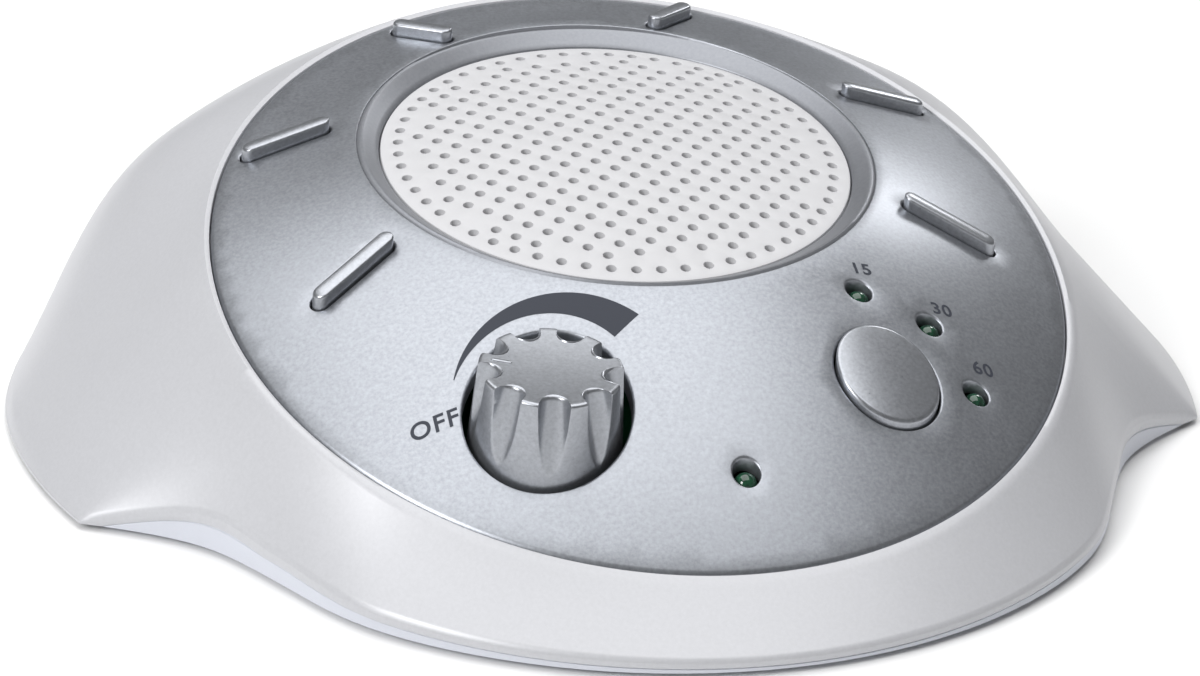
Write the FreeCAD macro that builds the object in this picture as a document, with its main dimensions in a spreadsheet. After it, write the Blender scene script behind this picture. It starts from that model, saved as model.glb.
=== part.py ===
import FreeCAD, Part
import math
import os
from types import SimpleNamespace
from FreeCAD import Placement, Rotation, Vector

# A bedside sound machine: a tilted round control panel in a flared housing.
# +X is right, +Y is back, +Z is up; the origin is on the table, on the panel's axis.

doc = FreeCAD.newDocument("sound_machine")

# Driving sizes, in millimetres and degrees
sizes = {
    # housing
    "frame_shift": 5.25,
    "foot_lift": 0.8,
    "panel_radius": 56.0,
    "panel_wall": 2.2,
    "panel_gap": 0.15,
    "lip_width": 0.9,
    "rim_height": 23.9,
    "rim_lean": 16.3,
    "crown_rise": 13.3,
    "crown_lean": 5.2,
    "crown_flat": 3.0,
    "ledge_width": 2.5,
    "ledge_depth": 1.5,
    "lobe_radius": 66.4,
    "lobe_half": 43.0,
    "bite_depth": 1.8,
    "bite_blend": 17.0,
    "wing_start": 62.0,
    "tip_turn": 80.4,
    "skirt_spread": 2.6,
    "tip_spread": 0.5,
    "rear_half": 80.9,
    "rear_centre": 13.9,
    "rear_depth": 63.0,
    "rear_bulge": 8.0,
    "wall_across": 1.2,
    "wall_down": 2.0,
    "lip_across": 0.6,
    "lip_down": 0.7,
    "seam_gap": 0.15,
    "seat_gap": 0.02,
    "rear_wall": 1.8,
    "base_wall": 2.0,
    "base_floor": 2.0,
    "base_rise": 5.5,
    # pull direction shared by the controls
    "pull_lean": 8.0,
    # loudspeaker and its grille
    "grille_lean": 7.35,
    "grille_centre": 12.8,
    "grille_height": 33.3,
    "grille_radius": 31.3,
    "grille_wall": 1.6,
    "grille_rise": 1.7,
    "grille_flat": 30.2,
    "grille_pitch": 2.95,
    "grille_hole": 1.2,
    "grille_edge_holes": 57.0,
    "grille_edge_radius": 28.95,
    "ring_radius": 34.4,
    "ring_slope": 31.0,
    "ring_ledge": 1.9,
    "ring_depth": 3.6,
    "speaker_flange": 33.0,
    "speaker_sheet": 1.2,
    "speaker_cone_radius": 26.0,
    "speaker_neck": 8.0,
    "cone_depth": 3.8,
    "cone_sheet": 0.6,
    "magnet_radius": 11.0,
    "magnet_depth": 3.6,
    # volume control
    "knob_side": 22.1,
    "knob_front": 34.1,
    "knob_hole": 10.4,
    "knob_foot_radius": 9.7,
    "knob_top_radius": 8.9,
    "knob_height": 12.4,
    "knob_rise": 5.9,
    "knob_edge": 0.4,
    "flute_count": 9.0,
    "flute_radius": 1.9,
    "flute_top": 8.55,
    "flute_lean": 17.0,
    "flute_turn": -102.5,
    "shaft_radius": 3.0,
    "shaft_gap": 0.05,
    "pot_bush": 3.9,
    "pot_bush_depth": 1.4,
    "pot_width": 11.0,
    # push buttons
    "slot_length": 13.2,
    "side_slot_length": 12.4,
    "upper_slot_length": 9.2,
    "slot_width": 2.8,
    "key_gap": 0.25,
    "key_rise": 1.7,
    "key_travel": 0.6,
    "key_flange": 1.1,
    "flange_sheet": 1.0,
    "stem_radius": 1.2,
    "timer_hole": 7.0,
    "timer_rise": 0.9,
    # lights
    "light_hole": 1.75,
    "light_radius": 1.5,
    "light_length": 5.3,
    "light_circle": 12.1,
    "power_front": 45.6,
    # boards and switches
    "board_height": 12.0,
    "board_radius": 56.0,
    "board_sheet": 1.6,
    "board_front": 48.5,
    "rear_board_height": 23.2,
    "rear_board_length": 50.0,
    "rear_board_width": 10.0,
    "switch_width": 6.0,
    "switch_height": 3.5,
    "plunger_radius": 1.7,
    "plunger_height": 0.8,
    "post_radius": 2.6,
    "screw_radius": 1.25,
    "screw_head": 2.6,
    "screw_head_depth": 1.8,
    # battery bay
    "bay_half": 29.2,
    "bay_front": 3.5,
    "bay_length": 52.5,
    "bay_height": 15.6,
    "bay_wall": 1.5,
    "door_gap": 0.3,
    "door_sheet": 1.6,
    "door_lap": 1.6,
    "tab_width": 8.0,
    "tab_reach": 2.2,
    "cell_pitch": 14.6,
    "spring_radius": 3.4,
    "spring_wire": 0.35,
    "spring_length": 4.0,
    "plate_sheet": 0.4,
    # feet, case screws, inlet
    "foot_radius": 5.0,
    "foot_recess": 0.8,
    "boss_radius": 3.4,
    "inlet_side": -30.0,
    "inlet_width": 9.0,
    "inlet_height": 11.0,
    "inlet_length": 10.4,
    "inlet_bore": 2.85,
    "inlet_depth": 9.0,
    "inlet_entry": 4.5,
    "inlet_chamber": 2.6,
    "inlet_pin": 1.0,
    "inlet_hole": 4.3,
    "inlet_back": 68.3,
}

sheet = doc.addObject("Spreadsheet::Sheet", "sizes")
for row, (alias, value) in enumerate(sizes.items(), 1):
    sheet.set("A%d" % row, alias)
    sheet.set("B%d" % row, repr(value))
    sheet.setAlias("B%d" % row, alias)
doc.recompute()
s = SimpleNamespace(**sizes)

X, Y, Z = Vector(1, 0, 0), Vector(0, 1, 0), Vector(0, 0, 1)
REACH = 90.0


def bound(rule):
    return " ".join("sizes." + word if word in sizes else word for word in rule.split())


def bind(item, place, **rules):
    for name, rule in rules.items():
        item.setExpression(name, bound(rule))
    item.Placement = place
    return item


def at(x, y, z):
    return Placement(Vector(x, y, z), Rotation())


def cylinder(name, radius, height, place):
    return bind(doc.addObject("Part::Cylinder", name), place, Radius=radius, Height=height)


def cone(name, low, high, height, place):
    return bind(doc.addObject("Part::Cone", name), place, Radius1=low, Radius2=high, Height=height)


def box(name, length, width, height, place, shift=(-0.5, -0.5, 0)):
    item = bind(doc.addObject("Part::Box", name), place, Length=length, Width=width, Height=height)
    doc.recompute()
    size = Vector(item.Length.Value, item.Width.Value, item.Height.Value)
    offset = Vector(shift[0] * size.x, shift[1] * size.y, shift[2] * size.z)
    item.Placement = place.multiply(Placement(offset, Rotation()))
    return item


def cut(name, base, *tools):
    item = doc.addObject("Part::Cut", name)
    item.Base = base
    item.Tool = tools[0] if len(tools) == 1 else fuse(name + "_tools", *tools)
    return item


def fuse(name, *parts):
    item = doc.addObject("Part::MultiFuse", name)
    item.Shapes = list(parts)
    return item


def common(name, *parts):
    item = doc.addObject("Part::MultiCommon", name)
    item.Shapes = list(parts)
    return item


def feature(name, shape, place=None):
    item = doc.addObject("Part::Feature", name)
    item.Shape = shape
    if place is not None:
        item.Placement = place
    return item


# The tilted rim plane and the crown of the panel above it

def rimPlane(y):
    return s.foot_lift + s.rim_height + y * math.tan(math.radians(s.rim_lean))


def crown(x, y):
    across, along = x / s.panel_radius, y / s.panel_radius
    fall = 1 - across ** 2 - along ** 2
    return rimPlane(y) + fall * (s.crown_rise - s.crown_lean * along - s.crown_flat * along ** 2)


def crownBlock(name, lift):
    steps = [s.panel_radius * 1.12 * k / 4 for k in range(-4, 5)]
    surface = Part.BSplineSurface()
    surface.interpolate([[Vector(x, y, crown(x, y)) for y in steps] for x in steps])
    block = surface.toShape().extrude(Vector(0, 0, -REACH))
    return feature(name, block, at(0, 0, lift))


def leaning(x, y, z, lean, turn=0.0):
    return Placement(Vector(x, y, z), Rotation(X, lean).multiply(Rotation(Z, turn)))


def onPanel(x, y, lean, turn=0.0):
    return leaning(x, y, crown(x, y), lean, turn)


def along(place, z, x=0.0, y=0.0):
    return place.multiply(Placement(Vector(x, y, z), Rotation()))


# Plan outline of the housing, as a radius for each direction from the panel's axis

def smooth(share):
    share = min(1.0, max(0.0, share))
    return share * share * (3 - 2 * share)


def rearRadius(angle, reach):
    half, centre = s.rear_half + reach, s.rear_centre
    c, d = math.cos(math.radians(angle)), math.sin(math.radians(angle))
    for deep in (s.rear_depth + reach, half):
        a = (c / half) ** 2 + (d / deep) ** 2
        b = -2 * d * centre / deep ** 2
        k = (centre / deep) ** 2 - 1
        radius = (-b + math.sqrt(b * b - 4 * a * k)) / (2 * a)
        if radius * d >= centre:
            break
    return radius


def planRadius(angle, spread, reach, power):
    off = abs((angle + 90 + 180) % 360 - 180)
    if off >= s.tip_turn:
        return rearRadius(angle, reach)
    lobe = s.lobe_radius + spread
    dip = s.bite_depth * smooth((off - s.lobe_half) / s.bite_blend)
    wing = max(0.0, (off - s.wing_start) / (s.tip_turn - s.wing_start)) ** power
    tip = rearRadius(s.tip_turn - 90, reach)
    return (lobe - dip) * (1 - wing) + tip * wing


def outlineRadius(angle):
    return planRadius(angle, 0, 0, 2.6)


def skirtRadius(angle):
    return planRadius(angle, s.skirt_spread, s.tip_spread, 2.0)


def spans():
    tip = s.tip_turn - 90
    for start, end, count in ((tip, -180 - tip, 25), (-180 - tip, tip - 360, 13)):
        middle, half = (start + end) / 2, (end - start) / 2
        turns = [math.pi * (k / (count - 1.0) - 0.5) for k in range(count)]
        yield [middle + half * math.sin(turn) for turn in turns]


def ring(point):
    edges = []
    for angles in spans():
        curve = Part.BSplineCurve()
        curve.interpolate([point(angle) for angle in angles])
        edges.append(curve.toShape())
    return Part.Wire(edges)


def planPrism(name, inset, low, high):
    def point(angle):
        radius = outlineRadius(angle) - inset
        turn = math.radians(angle)
        return Vector(radius * math.cos(turn), radius * math.sin(turn), low)
    return feature(name, Part.Face(ring(point)).extrude(Vector(0, 0, high - low)))


def skirtPoint(angle, share, inset, drop):
    turn = math.radians(angle)
    out = Vector(math.cos(turn), math.sin(turn), 0)
    rim = out * (s.panel_radius + s.panel_gap + s.lip_width - inset)
    rim.z = rimPlane(rim.y) - drop
    foot = out * (skirtRadius(angle) - inset)
    foot.z = s.foot_lift - drop
    chord = foot - rim
    normal = (out * -chord.z + Z * chord.dot(out)).normalize()
    above = math.degrees(math.asin(max(-1.0, min(1.0, math.sin(turn)))))
    bulge = s.rear_bulge * smooth((above - 12) / 30.0) * 4 * share * (1 - share)
    return rim + chord * share + normal * bulge


def skirt(name, inset=0.0, drop=0.0):
    shares = (0.0, 0.3, 0.65, 1.0)
    wires = [ring(lambda angle, at=share: skirtPoint(angle, at, inset, drop)) for share in shares]
    return feature(name, Part.makeLoft(wires, True, False))


def below(name, drop):
    # everything under the rim plane lowered by drop
    block = Part.makeBox(2 * REACH, 2 * REACH, REACH, Vector(-REACH, -REACH, -REACH))
    lean = Placement(Vector(0, 0, rimPlane(0) - drop), Rotation(X, s.rim_lean))
    block.Placement = lean
    return feature(name, block)


# Top shell

skirt_outer = skirt("skirt_outer")
skirt_cavity = skirt("skirt_cavity", s.wall_across, s.wall_down)
skirt_lip = skirt("skirt_lip", s.lip_across, s.lip_down)
plan_full = planPrism("plan_full", 0, s.foot_lift, REACH)
plan_deep = planPrism("plan_deep", s.base_wall + 2 * s.seam_gap,
                      s.foot_lift + s.base_floor + s.seam_gap, REACH)
plan_wide = planPrism("plan_wide", -4, s.foot_lift - 3, s.foot_lift + s.base_rise + s.seam_gap)
plan_inner = planPrism("plan_inner", s.rear_wall, s.foot_lift - 3, REACH)
ledge_top = s.panel_wall + s.seat_gap
under_ledge = below("under_ledge", ledge_top + s.ledge_depth)
under_seat = below("under_seat", ledge_top)

shell_block = common("shell_block", skirt_outer, plan_full)
cavity = common("cavity", skirt_cavity, under_ledge, plan_inner)
mouth = cylinder("mouth", "panel_radius - ledge_width", "200", at(0, 0, -REACH))
seat_well = cylinder("seat_well", "panel_radius + panel_gap", "200", at(0, 0, -REACH))
seat = cut("seat", seat_well, under_seat)
lip_ring = cut("lip_ring", plan_wide, plan_deep)
lip_room = common("lip_room", lip_ring, skirt_lip)
shell_open = cut("shell_open", shell_block, cavity, mouth, seat, lip_room)

# six sound keys, clockwise from the front left, and notches for them in the panel's seat
keys = []
for side in (-1, 1):
    keys += [(side * 40.2, -6.6, -29.5 * side, "slot_length"),
             (side * 42.0, 25.2, -5.5 * side, "side_slot_length"),
             (side * 17.9, 47.6, 37.0 * side, "upper_slot_length")]
keys.sort(key=lambda place: math.atan2(place[0], place[1]))
notch_bars = [box("notch_bar_%d" % k, length + " + 1", "slot_width + 2 * key_flange + 1", "12",
                  along(onPanel(x, y, s.pull_lean, turn), -12))
              for k, (x, y, turn, length) in enumerate(keys, 1)]
key_notches = common("key_notches", fuse("notch_bars", *notch_bars), under_seat)

boss_places = [(62.0, 30.0), (-62.0, 30.0), (44.4, -32.3), (-44.4, -32.3)]
boss_low = s.foot_lift + s.base_floor
boss_bars = [cylinder("boss_bar_%d" % k, "boss_radius", "60", at(x, y, boss_low))
             for k, (x, y) in enumerate(boss_places)]
boss_set = fuse("boss_set", *boss_bars)
seat_bars = cut("seat_bars", boss_set, seat, mouth)
bosses = common("bosses", seat_bars, skirt_lip)
pilots = fuse("pilots", *[cylinder("pilot_%d" % k, "screw_radius", "7", at(x, y, boss_low - 1))
                          for k, (x, y) in enumerate(boss_places)])

inlet_low = s.foot_lift + s.base_floor + s.door_sheet
inlet_middle = inlet_low + s.inlet_height / 2
inlet_place = Placement(Vector(s.inlet_side, s.inlet_back, inlet_middle), Rotation(X, -90))
inlet_opening = cylinder("inlet_opening", "inlet_hole", "40", inlet_place)
shell_bossed = fuse("shell_bossed", shell_open, bosses)
top_shell = cut("top_shell", shell_bossed, pilots, inlet_opening, key_notches)

# Base shell: floor, rising band, battery bay, posts and bosses

base_blank = planPrism("base_blank", s.seam_gap, s.foot_lift, s.foot_lift + s.base_rise)
base_pocket = planPrism("base_pocket", s.seam_gap + s.base_wall, s.foot_lift + s.base_floor, REACH)
base_roof = skirt("base_roof", s.lip_across + s.seam_gap, s.lip_down + s.seam_gap)
base_tray = cut("base_tray", common("base_low", base_blank, base_roof), base_pocket)

bay_middle = s.bay_front + s.bay_length / 2
bay_floor = s.foot_lift
bay_outer = box("bay_outer", "2 * bay_half + 2 * bay_wall", "bay_length + 2 * bay_wall",
                "bay_height + bay_wall", at(0, bay_middle, bay_floor))
bay_inner = box("bay_inner", "2 * bay_half", "bay_length", "bay_height + 1",
                at(0, bay_middle, bay_floor - 1))
door_rebate = box("door_rebate", "2 * bay_half + 2 * door_lap + 2 * door_gap",
                  "bay_length + 2 * door_lap + 2 * door_gap", "door_sheet + door_gap",
                  at(0, bay_middle, bay_floor - s.door_gap))
door_frame = box("door_frame", "2 * bay_half + 5 * door_lap", "bay_length + 5 * door_lap",
                 "base_floor + door_sheet", at(0, bay_middle, bay_floor))
tab_x = s.bay_half - 10.0
tab_rooms = [box("tab_room_%d" % k, "tab_width + 4 * door_gap", "2 * tab_reach + 4 * door_gap",
                 "door_sheet + 3 * door_gap + tab_reach",
                 at(side * tab_x, s.bay_front - s.door_lap, bay_floor - s.door_gap))
             for k, side in enumerate((1, -1))]

board_place = leaning(0, 0, s.foot_lift + s.board_height, s.pull_lean)


def boardDown(x, y):
    # height of the leaning main board's underside over a place in plan
    return (s.foot_lift + s.board_height + y * math.tan(math.radians(s.pull_lean))
            - s.board_sheet / math.cos(math.radians(s.pull_lean)))


def overBoard(x, y, up):
    # the point on the board's upper face that a control at (x, y) on the panel points at
    lean = math.radians(s.pull_lean)
    start = Vector(x, y, crown(x, y))
    axis = Vector(0, -math.sin(lean), math.cos(lean))
    origin = Vector(0, 0, up)
    depth = (start - origin).dot(axis)
    return start - axis * depth, depth


post_floor = s.foot_lift + s.base_floor - 0.5
board_posts = [(48.0, 10.0), (-48.0, 10.0), (8.0, -38.0), (-36.0, -24.0)]
board_under = feature("board_under", Part.makeBox(2 * REACH, 2 * REACH, REACH,
                                                  Vector(-REACH, -REACH, -REACH - s.board_sheet)),
                      board_place)
post_bars = fuse("post_bars", *[cylinder("post_%d" % k, "post_radius", "40", at(x, y, post_floor))
                                for k, (x, y) in enumerate(board_posts)])
posts = common("posts", post_bars, board_under)
rear_y = 48.5
rear_place = leaning(0, rear_y, s.foot_lift + s.rear_board_height, s.pull_lean)
rear_under = feature("rear_under", Part.makeBox(2 * REACH, 2 * REACH, REACH,
                                                Vector(-REACH, -REACH, -REACH - s.board_sheet)),
                     rear_place)
rear_bars = fuse("rear_bars", *[cylinder("rear_post_%d" % k, "post_radius", "30",
                                         at(x, rear_y, s.foot_lift + s.bay_height + 0.5))
                                for k, x in enumerate((10.0, -10.0))])
rear_posts = common("rear_posts", rear_bars, rear_under)

foot_places = [(33.0, -38.0), (-33.0, -38.0), (50.0, 42.0), (-50.0, 42.0)]
foot_rooms = [cylinder("foot_room_%d" % k, "foot_radius + door_gap", "foot_recess + 1",
                       at(x, y, s.foot_lift - 1)) for k, (x, y) in enumerate(foot_places)]
foot_pads = [cylinder("foot_pad_%d" % k, "foot_radius + 1.2", "base_floor + foot_recess",
                      at(x, y, s.foot_lift)) for k, (x, y) in enumerate(foot_places)]
screw_rooms = []
for k, (x, y) in enumerate(boss_places):
    screw_rooms.append(cylinder("head_room_%d" % k, "screw_head + door_gap", "screw_head_depth + 1",
                                at(x, y, s.foot_lift - 1)))
    screw_rooms.append(cylinder("screw_room_%d" % k, "screw_radius + door_gap", "20",
                                at(x, y, s.foot_lift - 1)))
board_pilots = [cylinder("board_pilot_%d" % k, "screw_radius", "4.4",
                         along(leaning(x, y, boardDown(x, y), s.pull_lean), -4))
                for k, (x, y) in enumerate(board_posts)]
inlet_stand = box("inlet_stand", "inlet_width + 1", "inlet_length - 1", "door_sheet + 0.5",
                  at(s.inlet_side, s.inlet_back - s.inlet_length / 2, inlet_low - s.door_sheet - 0.5))
base_solid = fuse("base_solid", base_tray, bay_outer, door_frame, posts, rear_posts, inlet_stand,
                  *foot_pads)
base_shell = cut("base_shell", base_solid, bay_inner, door_rebate, inlet_opening,
                 *(tab_rooms + foot_rooms + screw_rooms + board_pilots))

rubber_feet = fuse("rubber_feet", *[cylinder("foot_%d" % k, "foot_radius", "foot_lift + foot_recess",
                                             at(x, y, 0)) for k, (x, y) in enumerate(foot_places)])

screws = []
for k, (x, y) in enumerate(boss_places):
    head = cylinder("case_head_%d" % k, "screw_head", "screw_head_depth - 0.4",
                    at(x, y, s.foot_lift + 0.4))
    shank = cylinder("case_shank_%d" % k, "screw_radius - 0.05", "7",
                     at(x, y, s.foot_lift + 0.4))
    slot = box("case_slot_%d" % k, "2 * screw_head", "0.7", "0.8", at(x, y, s.foot_lift))
    screws.append(cut("case_screw_%d" % k, fuse("case_bar_%d" % k, head, shank), slot))
case_screws = fuse("case_screws", *screws)

# Battery door, springs and plates

door_low = s.foot_lift
hinge_y = s.bay_front - s.door_lap + s.door_sheet / 2
door_length = s.bay_length + 2 * s.door_lap - s.door_sheet / 2
door_plate = box("door_plate", "2 * bay_half + 2 * door_lap", "%r" % door_length,
                 "door_sheet", at(0, hinge_y + door_length / 2, door_low))
door_roll = cylinder("door_roll", "door_sheet / 2 - seat_gap", "2 * bay_half + 2 * door_lap",
                     Placement(Vector(-s.bay_half - s.door_lap, hinge_y, door_low + s.door_sheet / 2),
                               Rotation(Y, 90)))
door_tabs = [box("door_tab_%d" % k, "tab_width", "2 * tab_reach", "door_sheet",
                 at(side * tab_x, s.bay_front - s.door_lap, door_low + s.door_gap))
             for k, side in enumerate((1, -1))]
grip_grooves = [box("grip_%d" % k, "16", "0.8", "0.9",
                    at(0, s.bay_front + s.bay_length - 4 - 2 * k, door_low - 0.5)) for k in range(4)]
battery_door = cut("battery_door", fuse("door_solid", door_plate, door_roll, *door_tabs), *grip_grooves)

cell_axis = s.foot_lift + s.door_sheet + 7.4
coils = []
plates = []
for k in range(4):
    x = (k - 1.5) * s.cell_pitch
    near = s.bay_front if k % 2 else s.bay_front + s.bay_length
    way = 1 if k % 2 else -1
    face = Placement(Vector(x, near, cell_axis), Rotation(X, -90 * way))
    plates.append(box("spring_plate_%d" % k, "12.4", "11", "plate_sheet", face, (-0.5, -0.5, 0)))
    sleeve = cone("coil_%d" % k, "spring_radius", "spring_radius - 1.2", "spring_length",
                  along(face, s.plate_sheet))
    sleeve_room = cone("coil_room_%d" % k, "spring_radius - 2 * spring_wire",
                       "spring_radius - 1.2 - 2 * spring_wire", "spring_length + 0.1",
                       along(face, s.plate_sheet - 0.05))
    coils.append(cut("spring_%d" % k, sleeve, sleeve_room))
    far = s.bay_front + s.bay_length if k % 2 else s.bay_front
    button_face = Placement(Vector(x, far, cell_axis), Rotation(X, 90 * way))
    plates.append(box("flat_plate_%d" % k, "12.4", "11", "plate_sheet", button_face))
    plates.append(cylinder("flat_dimple_%d" % k, "2.6", "plate_sheet + 0.5", button_face))
battery_springs = fuse("battery_springs", *coils)
battery_plates = fuse("battery_plates", *plates)

# Control panel with its openings

crown_top = crownBlock("crown_top", 0)
crown_under = crownBlock("crown_under", -s.panel_wall)
panel_disc = cylinder("panel_disc", "panel_radius", "100", at(0, 0, 0))
panel_plate = cut("panel_plate", common("panel_dome", crown_top, panel_disc), crown_under)

def slotPrism(name, length, trim, place):
    bar = box(name + "_bar", length + " - slot_width", "slot_width - %r" % trim, "20",
              along(place, -10))
    reach = (sizes[length] - s.slot_width) / 2
    ends = [cylinder("%s_end_%d" % (name, way), "( slot_width - %r ) / 2" % trim, "20",
                     along(place, -10, way * reach)) for way in (-1, 1)]
    return fuse(name, bar, *ends)


panel_tools = []
ring_place = leaning(0, s.grille_centre, s.foot_lift + s.grille_height, s.grille_lean)
panel_tools.append(cylinder("ring_opening", "ring_radius + seat_gap", "60", along(ring_place, -30)))
knob_place = onPanel(-s.knob_side, -s.knob_front, s.pull_lean)
timer_place = onPanel(s.knob_side, -s.knob_front, s.pull_lean)
panel_tools.append(cylinder("knob_opening", "knob_hole", "40", along(knob_place, -20)))
panel_tools.append(cylinder("timer_opening", "timer_hole", "40", along(timer_place, -20)))
lights = {"power_led": (0.0, -s.power_front)}
for minutes, turn in ((15, 90), (30, 45), (60, 0)):
    angle = math.radians(turn)
    lights["timer_led_%d" % minutes] = (s.knob_side + s.light_circle * math.cos(angle),
                                        -s.knob_front + s.light_circle * math.sin(angle))
for name, (x, y) in lights.items():
    panel_tools.append(cylinder(name + "_opening", "light_hole", "16",
                                along(onPanel(x, y, s.pull_lean), -10)))
for k, (x, y, turn, length) in enumerate(keys, 1):
    panel_tools.append(slotPrism("slot_%d" % k, length, 0, onPanel(x, y, s.pull_lean, turn)))
control_panel = cut("control_panel", panel_plate, *panel_tools)

# Grille ring: a funnel whose outer edge follows the panel's crown

ring_bar = cylinder("ring_bar", "ring_radius", "60", along(ring_place, -s.ring_depth))
ring_block = common("ring_block", ring_bar, crown_top)
funnel = cone("funnel", "grille_radius + panel_gap",
              "grille_radius + panel_gap + 40 / tan( ring_slope )", "40", ring_place)
grille_well = cylinder("grille_well", "grille_radius + panel_gap", "40",
                       along(ring_place, -s.grille_wall))
ring_mouth = cylinder("ring_mouth", "grille_radius - ring_ledge", "80", along(ring_place, -40))
speaker_holes = [cylinder("speaker_pilot_%d" % k, "0.9", "5.8",
                          leaning(0, s.grille_centre, s.foot_lift + s.grille_height, s.grille_lean,
                                  45 + 90 * k).multiply(Placement(
                                      Vector(s.grille_radius + 0.3, 0, -s.ring_depth - 4.2), Rotation())))
                 for k in range(4)]
grille_ring = cut("grille_ring", ring_block, funnel, grille_well, ring_mouth, *speaker_holes)

# Speaker grille: a domed plate with a square lattice of holes and one outer row

grille_rim = cone("grille_rim", "grille_radius", "grille_flat", "grille_rise",
                  ring_place)
grille_foot = cylinder("grille_foot", "grille_radius", "grille_wall", along(ring_place, -s.grille_wall))
grille_room = cone("grille_room", "grille_radius - 1.2", "grille_flat - 1.2", "grille_rise",
                   along(ring_place, -s.grille_wall))
grille_blank = cut("grille_blank", fuse("grille_cap", grille_rim, grille_foot), grille_room)
step = s.grille_pitch / math.sqrt(2)
reach = int(s.grille_radius / step)
holes = []
for i in range(-reach, reach + 1):
    for j in range(-reach, reach + 1):
        x, y = i * step, j * step
        if (i + j) % 2 == 0 and math.hypot(x, y) < s.grille_edge_radius - 0.62 * s.grille_pitch:
            holes.append((x, y))
for k in range(int(s.grille_edge_holes)):
    angle = 2 * math.pi * k / s.grille_edge_holes
    holes.append((s.grille_edge_radius * math.cos(angle), s.grille_edge_radius * math.sin(angle)))
half = s.grille_hole / 2
pins = []
for x, y in holes:
    corner = [Vector(x + half * c, y + half * d, -s.grille_wall - 1)
              for c, d in ((1, 0), (0, 1), (-1, 0), (0, -1), (1, 0))]
    pins.append(Part.Face(Part.makePolygon(corner)).extrude(Vector(0, 0, 8)))
hole_pins = feature("hole_pins", Part.makeCompound(pins), ring_place)
speaker_grille = cut("speaker_grille", grille_blank, hole_pins)

# Loudspeaker, screwed up against the ring

flange_top = -s.ring_depth
flange = cylinder("flange", "speaker_flange", "speaker_sheet",
                  along(ring_place, flange_top - s.speaker_sheet))
flange_mouth = cylinder("flange_mouth", "speaker_cone_radius + 0.6", "speaker_sheet + 1",
                        along(ring_place, flange_top - s.speaker_sheet))
basket_low = flange_top - s.speaker_sheet - s.cone_depth - 0.6
basket = cone("basket", "magnet_radius + 1.2", "speaker_cone_radius + 1.6", "cone_depth + 0.7",
              along(ring_place, basket_low))
basket_room = cone("basket_room", "speaker_neck + 0.6", "speaker_cone_radius + 0.6",
                   "cone_depth + 0.8", along(ring_place, basket_low - 0.05))
flange_holes = [cylinder("flange_hole_%d" % k, "1.1", "4",
                         leaning(0, s.grille_centre, s.foot_lift + s.grille_height, s.grille_lean,
                                 45 + 90 * k).multiply(Placement(
                                     Vector(s.grille_radius + 0.3, 0, flange_top - 3), Rotation())))
                for k in range(4)]
speaker_frame = cut("speaker_frame", fuse("frame_solid", flange, basket), flange_mouth, basket_room,
                    *flange_holes)
cone_low = flange_top - s.speaker_sheet - s.cone_depth
cone_outer = cone("cone_outer", "speaker_neck", "speaker_cone_radius", "cone_depth + 0.6",
                  along(ring_place, cone_low))
cone_inner = cone("cone_inner", "speaker_neck", "speaker_cone_radius", "cone_depth + 0.6",
                  along(ring_place, cone_low + s.cone_sheet))
dust_ball = doc.addObject("Part::Sphere", "dust_ball")
bind(dust_ball, along(ring_place, cone_low - 6), Radius="speaker_neck + 2")
dust_disc = cylinder("dust_disc", "speaker_neck + 1.4", "6", along(ring_place, cone_low + 0.2))
surround = cylinder("surround", "speaker_cone_radius + 0.6 - seat_gap", "0.6",
                    along(ring_place, flange_top - s.speaker_sheet + 0.1))
surround_hole = cylinder("surround_hole", "speaker_cone_radius - 1.5", "2",
                         along(ring_place, flange_top - s.speaker_sheet - 0.5))
speaker_cone = fuse("speaker_cone", cut("cone_skin", cone_outer, cone_inner),
                    common("dust_cap", dust_ball, dust_disc), cut("surround_ring", surround, surround_hole))
speaker_magnet = cylinder("speaker_magnet", "magnet_radius", "magnet_depth",
                          along(ring_place, basket_low - s.magnet_depth))
speaker_screws = []
for k in range(4):
    place = leaning(0, s.grille_centre, s.foot_lift + s.grille_height, s.grille_lean, 45 + 90 * k)
    place = place.multiply(Placement(Vector(s.grille_radius + 0.3, 0, 0), Rotation()))
    speaker_screws.append(cylinder("driver_head_%d" % k, "1.7", "1.1",
                                   along(place, flange_top - s.speaker_sheet - 1.1)))
    speaker_screws.append(cylinder("driver_shank_%d" % k, "0.85", "speaker_sheet + 1.9",
                                   along(place, flange_top - s.speaker_sheet - 0.5)))
speaker_screws = fuse("speaker_screws", *speaker_screws)

# Main board, rear board, switches and screws

board_disc = cylinder("board_disc", "board_radius", "board_sheet", along(board_place, -s.board_sheet))
bay_notch = box("bay_notch", "2 * bay_half + 2 * bay_wall + 2", "200", "200",
                at(0, s.bay_front - s.bay_wall - 1 + 100, -50))
front_trim = box("front_trim", "200", "100", "200", at(0, -s.board_front - 50, -50))
back_trim = box("back_trim", "200", "100", "200", at(0, 34 + 50, -50))
mount_holes = [cylinder("board_hole_%d" % k, "screw_radius + 0.2", "6",
                        along(leaning(x, y, boardDown(x, y), s.pull_lean), -2))
               for k, (x, y) in enumerate(board_posts)]
boss_rooms = [cylinder("boss_room_%d" % k, "boss_radius + 1", "60", at(x, y, 0))
              for k, (x, y) in enumerate(boss_places) if y < 0]
circuit_board = cut("circuit_board", board_disc, bay_notch, front_trim, back_trim,
                    *(mount_holes + boss_rooms))
rear_board = box("rear_board", "rear_board_length", "rear_board_width", "board_sheet",
                 along(rear_place, -s.board_sheet))
bars = []
for k, (x, y) in enumerate(board_posts):
    under = leaning(x, y, boardDown(x, y), s.pull_lean)
    bars.append(cylinder("board_head_%d" % k, "screw_head - 0.4", "1.2", along(under, s.board_sheet)))
    bars.append(cylinder("board_shank_%d" % k, "screw_radius - 0.1", "board_sheet + 4",
                         along(under, -3.8)))
board_screws = fuse("board_screws", *bars)

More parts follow.
